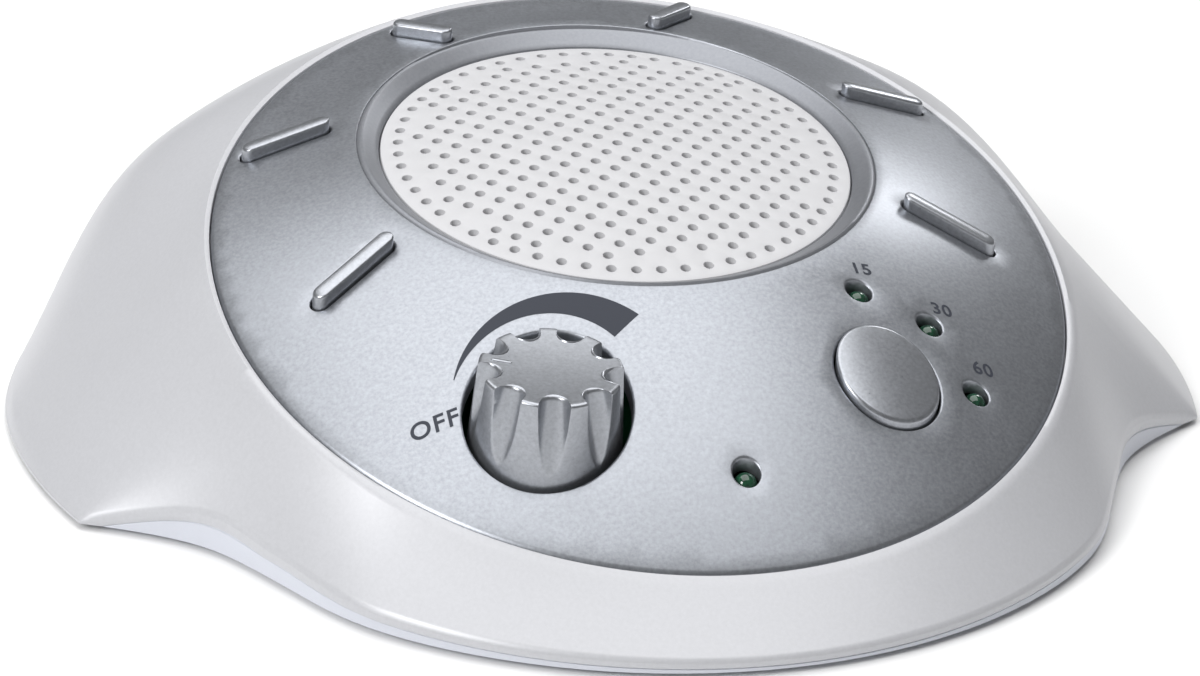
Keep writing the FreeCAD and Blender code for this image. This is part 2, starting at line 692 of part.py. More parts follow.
main_up = s.foot_lift + s.board_height
rear_lean = math.radians(s.pull_lean)
rear_up = s.foot_lift + s.rear_board_height - rear_y * math.tan(rear_lean)


def seatUnder(x, y):
    # the board face under a control, and how far below the panel's surface it lies
    up = rear_up if y > 40 else main_up
    return overBoard(x, y, up)


def switchParts(name, x, y):
    base_point, depth = seatUnder(x, y)
    base = leaning(base_point.x, base_point.y, base_point.z, s.pull_lean)
    case = box(name + "_case", "switch_width", "switch_width", "switch_height", base)
    plunger = cylinder(name + "_plunger", "plunger_radius", "plunger_height + 0.5",
                       along(base, s.switch_height - 0.5))
    return fuse(name, case, plunger)


def pressPart(name, x, y, turn, shape, collar, rise):
    # a push button cut to the crown: blade, flange under the panel, and stem to the switch
    place = onPanel(x, y, s.pull_lean, turn)
    top = key_tops[rise]
    blade = cut(name + "_blade", common(name + "_prism", shape, top), flange_under)
    plate = cut(name + "_flange", common(name + "_collar", collar, flange_over), flange_under)
    base_point, depth = seatUnder(x, y)
    gap = s.key_travel + s.seam_gap
    low = -depth + s.switch_height + s.plunger_height + gap
    stem_bar = cylinder(name + "_stem_bar", "stem_radius", "60", along(place, low))
    stem = common(name + "_stem", stem_bar, flange_over)
    return fuse(name, blade, plate, stem)


flange_over = crownBlock("flange_over", -s.panel_wall - s.seat_gap)
flange_under = crownBlock("flange_under", -s.panel_wall - s.seat_gap - s.flange_sheet)
key_tops = {rise: crownBlock("key_top_%d" % k, rise)
            for k, rise in enumerate((s.key_rise, s.timer_rise))}
nodes = []
switches = []
for k, (x, y, turn, length) in enumerate(keys, 1):
    name = "sound_button_%d" % k
    place = onPanel(x, y, s.pull_lean, turn)
    prism = slotPrism(name + "_key", length, 2 * s.key_gap, place)
    collar = box(name + "_wide", length + " - slot_width", "slot_width + 2 * key_flange", "20",
                 along(place, -10))
    nodes.append(pressPart(name, x, y, turn, prism, collar, s.key_rise))
    switches.append(switchParts("switch_%d" % k, x, y))
timer_bar = cylinder("timer_bar", "timer_hole - key_gap", "20", along(timer_place, -10))
timer_wide = cylinder("timer_wide", "timer_hole + key_flange", "20", along(timer_place, -10))
nodes.append(pressPart("timer_button", s.knob_side, -s.knob_front, 0, timer_bar, timer_wide,
                       s.timer_rise))
switches.append(switchParts("switch_7", s.knob_side, -s.knob_front))
push_switches = fuse("push_switches", *switches)

# Lights on long leads

for name, (x, y) in lights.items():
    place = onPanel(x, y, s.pull_lean)
    low = -s.light_length
    tube = cylinder(name + "_tube", "light_radius", "light_length - light_radius - 0.4",
                    along(place, low))
    lens = doc.addObject("Part::Sphere", name + "_lens")
    bind(lens, along(place, low + s.light_length - s.light_radius - 0.4), Radius="light_radius")
    rim = cylinder(name + "_rim", "light_radius + 0.4", "1", along(place, low))
    base_point, depth = overBoard(x, y, main_up)
    leads = [box("%s_lead_%d" % (name, way), "0.5", "0.5", "60", along(place, -depth, way * 0.9))
             for way in (-1, 1)]
    under_rim = cylinder(name + "_stop", "6", "%r" % (depth + low + 0.5), along(place, -depth))
    legs = [common("%s_leg_%d" % (name, k), lead, under_rim) for k, lead in enumerate(leads)]
    nodes.append(fuse(name, tube, lens, rim, *legs))

# Volume knob: a fluted cone with rounded top edge

knob = doc.addObject("PartDesign::Body", "volume_knob")
core = knob.newObject("PartDesign::AdditiveCone", "knob_core")
for name, rule in (("Radius1", "knob_foot_radius"), ("Radius2", "knob_top_radius"),
                   ("Height", "knob_height")):
    core.setExpression(name, bound(rule))
doc.recompute()


def edgeAt(item, height):
    for k, edge in enumerate(item.Shape.Edges, 1):
        if edge.BoundBox.ZLength < 0.01 and abs(edge.BoundBox.ZMin - height) < 0.01:
            return "Edge%d" % k


edge_round = knob.newObject("PartDesign::Fillet", "knob_round")
edge_round.Base = (core, [edgeAt(core, s.knob_height)])
edge_round.setExpression("Radius", bound("knob_edge"))
doc.recompute()
flute_low = -3.0
flute_start = s.flute_top + (s.knob_height - flute_low) * math.tan(math.radians(s.flute_lean))
flute = knob.newObject("PartDesign::SubtractiveCylinder", "flute")
flute.setExpression("Radius", bound("flute_radius"))
flute.setExpression("Height", bound("knob_height + 8"))
flute.Placement = Placement(Vector(), Rotation(Z, s.flute_turn)).multiply(
    Placement(Vector(flute_start, 0, flute_low), Rotation(Y, -s.flute_lean)))
doc.recompute()
flutes = knob.newObject("PartDesign::PolarPattern", "flutes")
flutes.Originals = [flute]
flutes.Axis = ([item for item in knob.Origin.OriginFeatures if item.Role == "Z_Axis"][0], [""])
flutes.Angle = 360
flutes.setExpression("Occurrences", bound("flute_count"))
knob.Tip = flutes
doc.recompute()
bore = knob.newObject("PartDesign::SubtractiveCylinder", "shaft_bore")
bore.setExpression("Radius", bound("shaft_radius"))
bore.setExpression("Height", bound("knob_height - 3"))
knob.Tip = bore
knob.Placement = along(knob_place, s.knob_rise - s.knob_height)
nodes.append(knob)

shaft_low = s.knob_rise - s.knob_height - 2.2
shaft = cylinder("pot_shaft", "shaft_radius", "knob_height - 3 + 2", along(knob_place, shaft_low))
pot_top = shaft_low + 0.6
knob_point, knob_depth = overBoard(-s.knob_side, -s.knob_front, main_up)
bush = cylinder("pot_bush", "pot_bush", "pot_bush_depth", along(knob_place, pot_top - 0.5))
pot_case = box("pot_case", "pot_width", "pot_width", "%r" % (pot_top + knob_depth),
               along(knob_place, -knob_depth))
pot_bore = cylinder("pot_bore", "shaft_radius + shaft_gap", "6", along(knob_place, shaft_low - s.seat_gap))
volume_pot = cut("volume_pot", fuse("pot_solid", bush, pot_case), pot_bore)

# Adaptor inlet

inlet_case = box("inlet_case", "inlet_width", "inlet_length", "inlet_height",
                 at(s.inlet_side, s.inlet_back, inlet_low), (-0.5, -1, 0))
inlet_socket = cylinder("inlet_socket", "inlet_bore", "inlet_entry",
                        along(inlet_place, -s.inlet_entry))
inlet_chamber = cylinder("inlet_chamber", "inlet_chamber", "inlet_depth",
                         along(inlet_place, -s.inlet_depth))
inlet_pin = cylinder("inlet_pin", "inlet_pin", "inlet_depth - inlet_entry - 0.5", along(inlet_place, -s.inlet_depth))
dc_jack = fuse("dc_jack", cut("inlet_hollow", inlet_case, inlet_socket, inlet_chamber), inlet_pin)

nodes += [top_shell, base_shell, rubber_feet, case_screws, battery_door, battery_springs,
          battery_plates, control_panel, grille_ring, speaker_grille, speaker_frame, speaker_cone,
          speaker_magnet, speaker_screws, circuit_board, rear_board, board_screws, push_switches,
          shaft, volume_pot, dc_jack]

doc.recompute()
failed = [item.Name for item in doc.Objects
          if "Invalid" in item.State or "Error" in item.State]
broken = [item.Name for item in nodes if item.Shape.isNull() or not item.Shape.isValid()
          or not item.Shape.Solids]
if failed or broken:
    raise RuntimeError("failed: %s broken: %s" % (failed, broken))
os.makedirs("parts", exist_ok=True)
for item in nodes:
    moved = item.Shape.copy()
    moved.translate(Vector(0, -s.frame_shift, 0))
    moved.exportStep("parts/%s.step" % item.Name)
    box_now = item.Shape.optimalBoundingBox()
    print("%-18s %9.1f mm3 %2d solids  z %.1f to %.1f" % (
        item.Name, item.Shape.Volume, len(item.Shape.Solids), box_now.ZMin, box_now.ZMax))
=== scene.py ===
import bpy, bmesh, math
import numpy as np
from mathutils import Matrix, Vector, geometry


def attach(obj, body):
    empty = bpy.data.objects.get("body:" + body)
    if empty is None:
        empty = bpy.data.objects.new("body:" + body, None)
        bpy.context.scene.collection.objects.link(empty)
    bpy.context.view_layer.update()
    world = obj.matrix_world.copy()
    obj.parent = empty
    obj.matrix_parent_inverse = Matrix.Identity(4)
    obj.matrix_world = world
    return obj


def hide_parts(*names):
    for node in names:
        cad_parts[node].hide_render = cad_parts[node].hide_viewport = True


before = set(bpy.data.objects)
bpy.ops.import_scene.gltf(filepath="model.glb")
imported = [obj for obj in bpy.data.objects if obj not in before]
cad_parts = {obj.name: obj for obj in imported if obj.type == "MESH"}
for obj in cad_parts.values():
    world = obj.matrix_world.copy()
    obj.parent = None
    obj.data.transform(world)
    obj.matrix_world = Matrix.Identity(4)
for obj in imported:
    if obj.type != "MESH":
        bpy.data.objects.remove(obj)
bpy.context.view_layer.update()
print("frame loaded:", len(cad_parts), "nodes")

# Lengths are in millimetres on the panel's own axis; toFrame moves them into the model's frame.
frameShift = 5.25


def toFrame(point):
    return (point[0] / 1000, (point[1] - frameShift) / 1000, point[2] / 1000)


# The camera stands where the photograph was taken from.
view = dict(spot=(-147.2, -449.4, 231.6), ahead=(0.2738, 0.8658, -0.4188),
            right=(0.9584, -0.2822, 0.0433), lens=118.4, sensor=36.0)
lens = bpy.data.cameras.new("viewCamera")
lens.lens, lens.sensor_width, lens.clip_start = view["lens"], view["sensor"], 0.01
camera = bpy.data.objects.new("viewCamera", lens)
bpy.context.scene.collection.objects.link(camera)
ahead = Vector(view["ahead"]).normalized()
right = Vector(view["right"])
right = (right - ahead * right.dot(ahead)).normalized()
turn = Matrix((right, right.cross(ahead), -ahead)).transposed().to_4x4()
camera.matrix_world = Matrix.Translation(toFrame(view["spot"])) @ turn
bpy.context.scene.camera = camera
bpy.context.scene.view_settings.view_transform = "Standard"


# A socket that adds Math and Mix nodes as it is used in sums
class Wire:
    def __init__(self, finish, socket):
        self.finish, self.socket = finish, socket

    def join(self, first, second, operation):
        kinds = [w.socket.type for w in (first, second) if isinstance(w, Wire)]
        if "RGBA" in kinds:
            mixing = dict(data_type="RGBA", blend_type=operation)
            return self.finish.add("ShaderNodeMix", mixing,
                                   {"Factor": 1.0, 6: colourOf(first), 7: colourOf(second)}, 2)
        return self.finish.add("ShaderNodeMath", dict(operation=operation), {0: first, 1: second})

    def __add__(self, other):
        return self.join(self, other, "ADD")

    def __radd__(self, other):
        return self.join(other, self, "ADD")

    def __sub__(self, other):
        return self.join(self, other, "SUBTRACT")

    def __mul__(self, other):
        return self.join(self, other, "MULTIPLY")


def colourOf(value):
    if isinstance(value, Wire):
        return value
    return (value, value, value, 1.0) if isinstance(value, (int, float)) else (*value, 1.0)[:4]


class Finish:
    def __init__(self, name, **plain):
        self.material = bpy.data.materials.new(name)
        self.material.use_nodes = True
        self.tree = self.material.node_tree
        self.shader = self.tree.nodes["Principled BSDF"]
        for key, value in plain.items():
            self.feed(key.replace("_", " ").title().replace("Ior", "IOR"), value)
        self.place = self.add("ShaderNodeTexCoord", out="Object")

    def feed(self, key, value):
        socket = self.shader.inputs[key]
        if isinstance(value, Wire):
            self.tree.links.new(value.socket, socket)
        else:
            plain = isinstance(value, tuple) and len(value) == 3
            socket.default_value = (*value, 1.0) if plain else value

    def add(self, kind, settings=None, inputs=None, out=0):
        node = self.tree.nodes.new(kind)
        for key, value in (settings or {}).items():
            if key == "stops":
                ramp = node.color_ramp.elements
                while len(ramp) < len(value):
                    ramp.new(1.0)
                for stop, (spot, shade) in zip(ramp, value):
                    stop.position, stop.color = spot, colourOf(shade)
            else:
                setattr(node, key, value)
        for key, value in (inputs or {}).items():
            if isinstance(value, Wire):
                self.tree.links.new(value.socket, node.inputs[key])
            else:
                node.inputs[key].default_value = value
        return Wire(self, node.outputs[out])

    def grain(self, size, detail=2.0, rough=0.5):  # noise whose lumps are about size millimetres
        return self.add("ShaderNodeTexNoise", None,
                        {"Vector": self.place, "Scale": 1000.0 / size, "Detail": detail,
                         "Roughness": rough})

    def bump(self, height, strength, depth=0.0001):
        self.feed("Normal", self.add("ShaderNodeBump", None,
                                     {"Height": height, "Strength": strength, "Distance": depth}))


# Finishes

def metallicPaint(name, colour, metallic, roughness, flake=0.35, fleck=0.05, coat=0.0, bump=0.08):
    finish = Finish(name, metallic=metallic, coat_weight=coat, coat_roughness=0.18)
    fine = finish.grain(flake, 3.0, 0.65)
    cloudy = finish.grain(14.0, 2.0)
    shade = 1.0 + (fine - 0.5) * fleck * 2.0 + (cloudy - 0.5) * 0.04
    tint = finish.add("ShaderNodeRGB")
    tint.socket.default_value = (*colour, 1.0)
    finish.feed("Base Color", tint * finish.add("ShaderNodeCombineColor", None,
                                                {0: shade, 1: shade, 2: shade}))
    finish.feed("Roughness", roughness + (fine - 0.5) * 0.12 + (cloudy - 0.5) * 0.05)
    finish.bump(fine, bump, 0.00002)
    return finish.material


def mouldedPlastic(name, colour, roughness, grainSize=0.5, bump=0.12, fleck=0.02, shine=0.5):
    finish = Finish(name, specular_ior_level=shine)
    fine = finish.grain(grainSize, 3.0, 0.6)
    cloudy = finish.grain(22.0, 2.0)
    shade = 1.0 + (fine - 0.5) * fleck * 2.0 + (cloudy - 0.5) * 0.03
    tint = finish.add("ShaderNodeRGB")
    tint.socket.default_value = (*colour, 1.0)
    finish.feed("Base Color", tint * finish.add("ShaderNodeCombineColor", None,
                                                {0: shade, 1: shade, 2: shade}))
    finish.feed("Roughness", roughness + (fine - 0.5) * 0.1 + (cloudy - 0.5) * 0.06)
    finish.bump(fine, bump, 0.00003)
    return finish.material


pearlShell = metallicPaint("pearlShell", (0.535, 0.54, 0.565), 0.12, 0.38, 0.5, 0.08, 0.12)
palePlastic = mouldedPlastic("palePlastic", (0.62, 0.64, 0.70), 0.42)
panelSilver = metallicPaint("panelSilver", (0.335, 0.35, 0.38), 0.86, 0.36, 0.5, 0.34)
ringSilver = metallicPaint("ringSilver", (0.28, 0.29, 0.315), 0.66, 0.42, 0.5, 0.16)
grillePaint = mouldedPlastic("grillePaint", (0.60, 0.60, 0.615), 0.5, 0.35, 0.2)
buttonSilver = metallicPaint("buttonSilver", (0.38, 0.395, 0.425), 0.84, 0.31, 0.5, 0.3, 0.1, 0.0)
paperCone = mouldedPlastic("paperCone", (0.035, 0.035, 0.035), 0.85, 0.8, 0.5, 0.1)
inkGrey = mouldedPlastic("inkGrey", (0.045, 0.05, 0.065), 0.55, 0.4, 0.1, 0.05, 0.2)
blackMoulding = mouldedPlastic("blackMoulding", (0.025, 0.025, 0.027), 0.5, 0.6, 0.2, 0.06)
softRubber = mouldedPlastic("softRubber", (0.03, 0.03, 0.03), 0.8, 0.7, 0.4, 0.1)
solderMask = mouldedPlastic("solderMask", (0.02, 0.16, 0.07), 0.35, 3.0, 0.2, 0.1)
ferrite = mouldedPlastic("ferrite", (0.07, 0.07, 0.075), 0.7, 0.7, 0.4, 0.1)
platedSteel = metallicPaint("platedSteel", (0.62, 0.62, 0.62), 1.0, 0.30, 0.8, 0.05)
zincSteel = metallicPaint("zincSteel", (0.50, 0.50, 0.50), 1.0, 0.38, 0.9, 0.06)


def lampLens():
    finish = Finish("lampLens", roughness=0.08, ior=1.5, coat_weight=0.6, coat_roughness=0.05)
    depth = finish.grain(0.8, 2.0)
    shade = finish.add("ShaderNodeValToRGB", dict(stops=[(0.3, (0.003, 0.022, 0.012)),
                                                         (0.75, (0.012, 0.085, 0.04))]),
                       {"Fac": depth})
    finish.feed("Base Color", shade)
    return finish.material


greenLens = lampLens()
print("finishes made")


# Mesh helpers

def addPiece(name, points, faces, body, material, replaced=(), crease=38.0):
    mesh = bpy.data.meshes.new(name)
    mesh.from_pydata([toFrame(p) for p in points], [], faces)
    shape = bmesh.new()
    shape.from_mesh(mesh)
    bmesh.ops.remove_doubles(shape, verts=shape.verts, dist=2e-6)
    bmesh.ops.dissolve_degenerate(shape, dist=1e-6, edges=shape.edges)
    bmesh.ops.recalc_face_normals(shape, faces=shape.faces)
    shape.to_mesh(mesh)
    shape.free()
    mesh.shade_smooth()
    mesh.set_sharp_from_angle(angle=math.radians(crease))
    mesh.materials.append(material)
    piece = bpy.data.objects.new(name, mesh)
    bpy.context.scene.collection.objects.link(piece)
    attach(piece, body)
    if replaced:
        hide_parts(*replaced)
    return piece


def strip(rows, closed=True, offset=0, loop=False):
    # quads between rows of equally many points
    count, faces = len(rows[0]), []
    pairs = len(rows) if loop else len(rows) - 1
    for k in range(pairs):
        a, b = offset + k * count, offset + ((k + 1) % len(rows)) * count
        for i in range(count if closed else count - 1):
            j = (i + 1) % count
            faces.append((a + i, a + j, b + j, b + i))
    return faces


def gridPoints(reach, spacing):
    rows = []
    for k in range(-int(reach / spacing / 0.87), int(reach / spacing / 0.87) + 1):
        for i in range(-int(reach / spacing), int(reach / spacing) + 1):
            rows.append(((i + 0.5 * (k % 2)) * spacing, k * spacing * 0.87))
    return np.array(rows)


def insideLoop(points, loop):
    x, y = points[:, 0], points[:, 1]
    inside = np.zeros(len(points), bool)
    for (ax, ay), (bx, by) in zip(loop, np.roll(loop, -1, axis=0)):
        if ay != by:
            crossing = (ay > y) != (by > y)
            inside ^= crossing & (x < (bx - ax) * (y - ay) / (by - ay) + ax)
    return inside


def stampedSheet(outline, openings, height, reach, spacing, keep=0.55):
    # a sheet over the plan outline: loops[0] of each opening lies in the sheet,
    # the rest run down its wall
    rings = [outline] + openings
    flat = [np.array([(p[0], p[1]) for p in loops[0]]) for loops in rings]
    everyone = np.concatenate(flat)
    grid = gridPoints(reach, spacing)
    grid = grid[insideLoop(grid, flat[0])]
    near = np.array([np.min(np.hypot(*(everyone - g).T)) for g in grid])
    grid = grid[near > keep * spacing]
    for loop in flat[1:]:
        middle, span = loop.mean(0), np.max(np.hypot(*(loop - loop.mean(0)).T))
        close = np.hypot(*(grid - middle).T) < span
        if close.any():
            shut = np.zeros(len(grid), bool)
            shut[close] = insideLoop(grid[close], loop)
            grid = grid[~shut]
    edges, owner, start = [], [], 0
    for number, loop in enumerate(flat):
        edges += [(start + i, start + (i + 1) % len(loop)) for i in range(len(loop))]
        owner += [number] * len(loop)
        start += len(loop)
    plan = [Vector(p) for p in np.concatenate([everyone, grid])]
    owner += [-1] * len(grid)
    verts, _, triangles, origins, _, _ = geometry.delaunay_2d_cdt(plan, edges, [], 0, 1e-7)
    owners = [owner[source[0]] if source else -1 for source in origins]
    merged = {extra: k for k, source in enumerate(origins) for extra in source}
    points = [(v.x, v.y, height(v.x, v.y)) for v in verts]
    faces = []
    for triangle in triangles:
        mine = {owners[k] for k in triangle}
        if len(mine) == 1 and mine != {-1}:
            number = mine.pop()
            middle = np.array([sum(verts[k][axis] for k in triangle) / 3 for axis in (0, 1)])
            inside = insideLoop(middle[None, :], flat[number])[0]
            if inside == (number > 0):
                continue
        faces.append(tuple(triangle))
    start = 0
    for loops in rings:
        count = len(loops[0])
        first = [merged[start + i] for i in range(count)]
        for k, point in zip(first, loops[0]):
            points[k] = tuple(point)
        previous = first
        for loop in loops[1:]:
            base = len(points)
            points += [tuple(p) for p in loop]
            current = list(range(base, base + count))
            for i in range(count):
                j = (i + 1) % count
                faces.append((previous[i], previous[j], current[j], current[i]))
            previous = current
        start += count
    return points, faces


# The panel's crown, as in the model's source

panel = dict(radius=56.0, lift=0.8, rim=23.9, lean=16.3, crown=13.3, fall=5.2, flat=3.0,
             wall=2.2, slotWall=2.0, edge=0.45, pull=8.0)


def rimHeight(y):
    return panel["lift"] + panel["rim"] + y * math.tan(math.radians(panel["lean"]))


def crownHeight(x, y):
    across, along = x / panel["radius"], y / panel["radius"]
    share = 1 - across ** 2 - along ** 2
    rise = panel["crown"] - panel["fall"] * along - panel["flat"] * along ** 2
    return rimHeight(y) + share * rise


class Seat:  # a leaning place on the panel, with its own across, along and out directions
    def __init__(self, x, y, lean=panel["pull"], turn=0.0, z=None):
        a, t = math.radians(lean), math.radians(turn)
        up = Vector((0, -math.sin(a), math.cos(a)))
        side, back = Vector((1, 0, 0)), Vector((0, math.cos(a), math.sin(a)))
        self.across = side * math.cos(t) + back * math.sin(t)
        self.along = back * math.cos(t) - side * math.sin(t)
        self.out = up
        self.spot = Vector((x, y, crownHeight(x, y) if z is None else z))

    def at(self, u, v, w=0.0):
        return self.spot + self.across * u + self.along * v + self.out * w

    def onCrown(self, u, v, lift=0.0):
        w = 0.0
        for _ in range(8):
            p = self.at(u, v, w)
            w += (crownHeight(p.x, p.y) - p.z) / self.out.z
        return self.at(u, v, w + lift)


def circleLoop(radius, count):
    return lambda grow: [((radius + grow) * math.cos(2 * math.pi * k / count),
                          (radius + grow) * math.sin(2 * math.pi * k / count))
                         for k in range(count)]


def obroundLoop(length, width, count=10):
    half = (length - width) / 2

    def loop(grow):
        radius = width / 2 + grow
        points = []
        for side, start in ((1, -90), (-1, 90)):
            for k in range(count + 1):
                a = math.radians(start + 180.0 * k / count)
                points.append((side * half + radius * math.cos(a), radius * math.sin(a)))
        return points
    return loop


def rolledEdge(seat, loop, edge, depth, steps=3):
    # loops that round over from the crown into an opening and run down its wall
    rings = []
    for k in range(steps + 1):
        a = math.pi / 2 * k / steps
        rings.append([seat.onCrown(u, v, -edge * (1 - math.cos(a)))
                      for u, v in loop(edge * (1 - math.sin(a)))])
    rings.append([seat.onCrown(u, v, -depth) for u, v in loop(0.0)])
    return rings


def domedKey(seat, loop, half, rise, edge, low, dome=0.0, steps=4):
    # a button that follows the crown: wall, rounded edge, then loops in to the middle
    rings = [[seat.onCrown(u, v, low) for u, v in loop(0.0)]]
    for k in range(steps + 1):
        a = math.pi / 2 * k / steps
        rings.append([seat.onCrown(u, v, rise - edge * (1 - math.sin(a)))
                      for u, v in loop(-edge * (1 - math.cos(a)))])
    for share in (0.25, 0.5, 0.75, 1.0):
        inset = edge + (half - edge) * share
        lift = rise + dome * (1 - (1 - share) ** 2)
        rings.append([seat.onCrown(u, v, lift) for u, v in loop(-min(inset, half - 0.001))])
    points = [p for ring in rings for p in ring]
    return points, strip(rings)


# Outline of the housing

housing = dict(lobe=66.4, lobeHalf=43.0, bite=1.8, blend=17.0, wingStart=62.0, tip=80.4,
               spread=2.6, tipSpread=0.5, rearHalf=80.9, rearCentre=13.9, rearDepth=63.0,
               bulge=8.0, rimWidth=1.05, lipAcross=0.6, lipDown=0.7, seam=0.15, baseRise=5.5,
               skin=1.7, wallAcross=1.2, wallDown=2.0)


def smooth(share):
    share = min(1.0, max(0.0, share))
    return share * share * (3 - 2 * share)


def rearRadius(angle, reach):
    half, centre = housing["rearHalf"] + reach, housing["rearCentre"]
    c, d = math.cos(math.radians(angle)), math.sin(math.radians(angle))
    for deep in (housing["rearDepth"] + reach, half):
        a = (c / half) ** 2 + (d / deep) ** 2
        b = -2 * d * centre / deep ** 2
        k = (centre / deep) ** 2 - 1
        radius = (-b + math.sqrt(b * b - 4 * a * k)) / (2 * a)
        if radius * d >= centre:
            break
    return radius


def planRadius(angle, spread, reach, power):
    off = abs((angle + 90 + 180) % 360 - 180)
    if off >= housing["tip"]:
        return rearRadius(angle, reach)
    lobe = housing["lobe"] + spread
    dip = housing["bite"] * smooth((off - housing["lobeHalf"]) / housing["blend"])
    wing = max(0.0, (off - housing["wingStart"]) / (housing["tip"] - housing["wingStart"])) ** power
    tip = rearRadius(housing["tip"] - 90, reach)
    return (lobe - dip) * (1 - wing) + tip * wing


def outlineRadius(angle):
    return planRadius(angle, 0, 0, 2.6)


def skirtSpot(angle, share, inset=0.0, drop=0.0):
    # radius and height of the flared skirt, from the panel's rim at 0 to the floor at 1
    sine = math.sin(math.radians(angle))
    rimRadius = panel["radius"] + housing["rimWidth"] - inset
    rim = Vector((rimRadius, rimHeight(rimRadius * sine) - drop))
    # the corner at each wing's tip spreads out and fades on its way up to the rim
    fade = 15.0 * (1 - share)
    reach = [planRadius(angle + fade * k / 3, housing["spread"], housing["tipSpread"], 2.0)
             for k in (-3, -2, -1, 0, 1, 2, 3)]
    foot = Vector((sum(r * w for r, w in zip(reach, (1, 2, 3, 4, 3, 2, 1))) / 16 - inset,
                   panel["lift"] - drop))
    chord = foot - rim
    normal = Vector((-chord.y, chord.x)).normalized()
    above = math.degrees(math.asin(max(-1.0, min(1.0, sine))))
    bulge = housing["bulge"] * smooth((above - 12) / 30.0) * 4 * share * (1 - share)
    return rim + chord * share + normal * bulge


def crossing(angle, inset, drop, radius):
    # height at which the skirt passes the given radius on its way down
    shares = [k / 60 for k in range(61)]
    for a, b in zip(shares, shares[1:]):
        if skirtSpot(angle, b, inset, drop).x >= radius:
            low, high = a, b
            break
    else:
        return 1.0, skirtSpot(angle, 1.0, inset, drop).y
    for _ in range(24):
        middle = (low + high) / 2
        if skirtSpot(angle, middle, inset, drop).x < radius:
            low = middle
        else:
            high = middle
    return high, skirtSpot(angle, high, inset, drop).y


def roundTheHouse():
    tip, angles = housing["tip"] - 90, []
    for start, end, count in ((tip, -180 - tip, 150), (-180 - tip, tip - 360, 130)):
        middle, half = (start + end) / 2, (end - start) / 2
        for k in range(count):
            t = k / count - 0.5
            angles.append(middle + half * (0.6 * math.sin(math.pi * t) + 0.4 * 2 * t))
    return angles


houseAngles = roundTheHouse()
seamTop = panel["lift"] + housing["baseRise"] + housing["seam"]


def polar(angle, radius, z):
    a = math.radians(angle)
    return (radius * math.cos(a), radius * math.sin(a), z)


def shellColumn(angle):
    # one closed section of the shell: seat, rim band, flared skirt, lip and inner face
    seatRadius = panel["radius"] + housing["seam"]
    sine = math.sin(math.radians(angle))
    column = []
    top = rimHeight(seatRadius * sine)
    column += [(seatRadius, top - 2.2), (seatRadius, top - 0.14), (seatRadius + 0.05, top - 0.03),
               (seatRadius + 0.16, top + 0.02)]
    wall = outlineRadius(angle)
    edge, edgeTop = crossing(angle, 0.0, 0.0, wall)
    first = skirtSpot(angle, 0.0)
    column.append((first.x - 0.25, first.y + 0.06))
    rows = 30
    last = edge - 0.35 / (skirtSpot(angle, 1.0) - skirtSpot(angle, 0.0)).length
    for k in range(1, rows + 1):
        share = 0.006 + (last - 0.006) * (k / rows)
        spot = skirtSpot(angle, share)
        column.append((spot.x, spot.y))
    lipBottom = crossing(angle, housing["lipAcross"], housing["lipDown"], wall)[1]
    bottom = max(panel["lift"], min(seamTop, lipBottom))
    reach = max(0.12, min(0.45, (edgeTop - bottom) * 0.4))
    for k in (1, 2, 3):
        a = math.pi / 2 * k / 3
        column.append((wall - 0.30 * (1 - math.sin(a)), edgeTop - reach * (1 - math.cos(a))))
    column += [(wall, bottom + 0.12), (wall - 0.12, bottom)]
    inner = wall - housing["skin"]
    column.append((inner, bottom))
    across, down = housing["wallAcross"], housing["wallDown"]
    roofEdge, roof = crossing(angle, across, down, inner)
    column.append((inner, max(bottom + 0.05, roof)))
    for k in range(1, 9):
        spot = skirtSpot(angle, roofEdge * (1 - k / 8), across, down)
        column.append((min(inner, max(seatRadius - 1.3, spot.x)), max(bottom + 0.05, spot.y)))
    column.append((seatRadius - 2.0, rimHeight(seatRadius * sine) - 3.9))
    column.append((seatRadius - 2.0, rimHeight(seatRadius * sine) - 2.3))
    return [polar(angle, r, z) for r, z in column]


inlet = dict(x=-30.0, z=9.9, radius=4.3, drillStart=60, drillEnd=90)


def drillHole(piece, x, z, radius, front, back):
    bpy.ops.mesh.primitive_cylinder_add(vertices=64, radius=radius / 1000,
                                        depth=(back - front) / 1000,
                                        location=toFrame((x, (front + back) / 2, z)),
                                        rotation=(math.pi / 2, 0, 0))
    drill = bpy.context.active_object
    cutting = piece.modifiers.new("hole", "BOOLEAN")
    cutting.object, cutting.operation, cutting.solver = drill, "DIFFERENCE", "EXACT"
    bpy.context.view_layer.update()
    solid = piece.evaluated_get(bpy.context.evaluated_depsgraph_get())
    cleared = bpy.data.meshes.new_from_object(solid)
    piece.modifiers.clear()
    old = piece.data
    piece.data = cleared
    cleared.name = old.name
    bpy.data.meshes.remove(old)
    bpy.data.objects.remove(drill)
    piece.data.set_sharp_from_angle(angle=math.radians(38))


columns = [shellColumn(angle) for angle in houseAngles]
points = [p for column in columns for p in column]
faces = []
width = len(columns[0])
for k in range(len(columns)):
    a, b = k * width, ((k + 1) % len(columns)) * width
    for i in range(width):
        j = (i + 1) % width
        faces.append((a + i, b + i, b + j, a + j))
shell = addPiece("shellSkin", points, faces, "housing", pearlShell, ["top_shell"])
drillHole(shell, inlet["x"], inlet["z"], inlet["radius"], inlet["drillStart"], inlet["drillEnd"])
print("shell done:", len(shell.data.polygons), "faces")

# Control panel with rolled edges round its openings

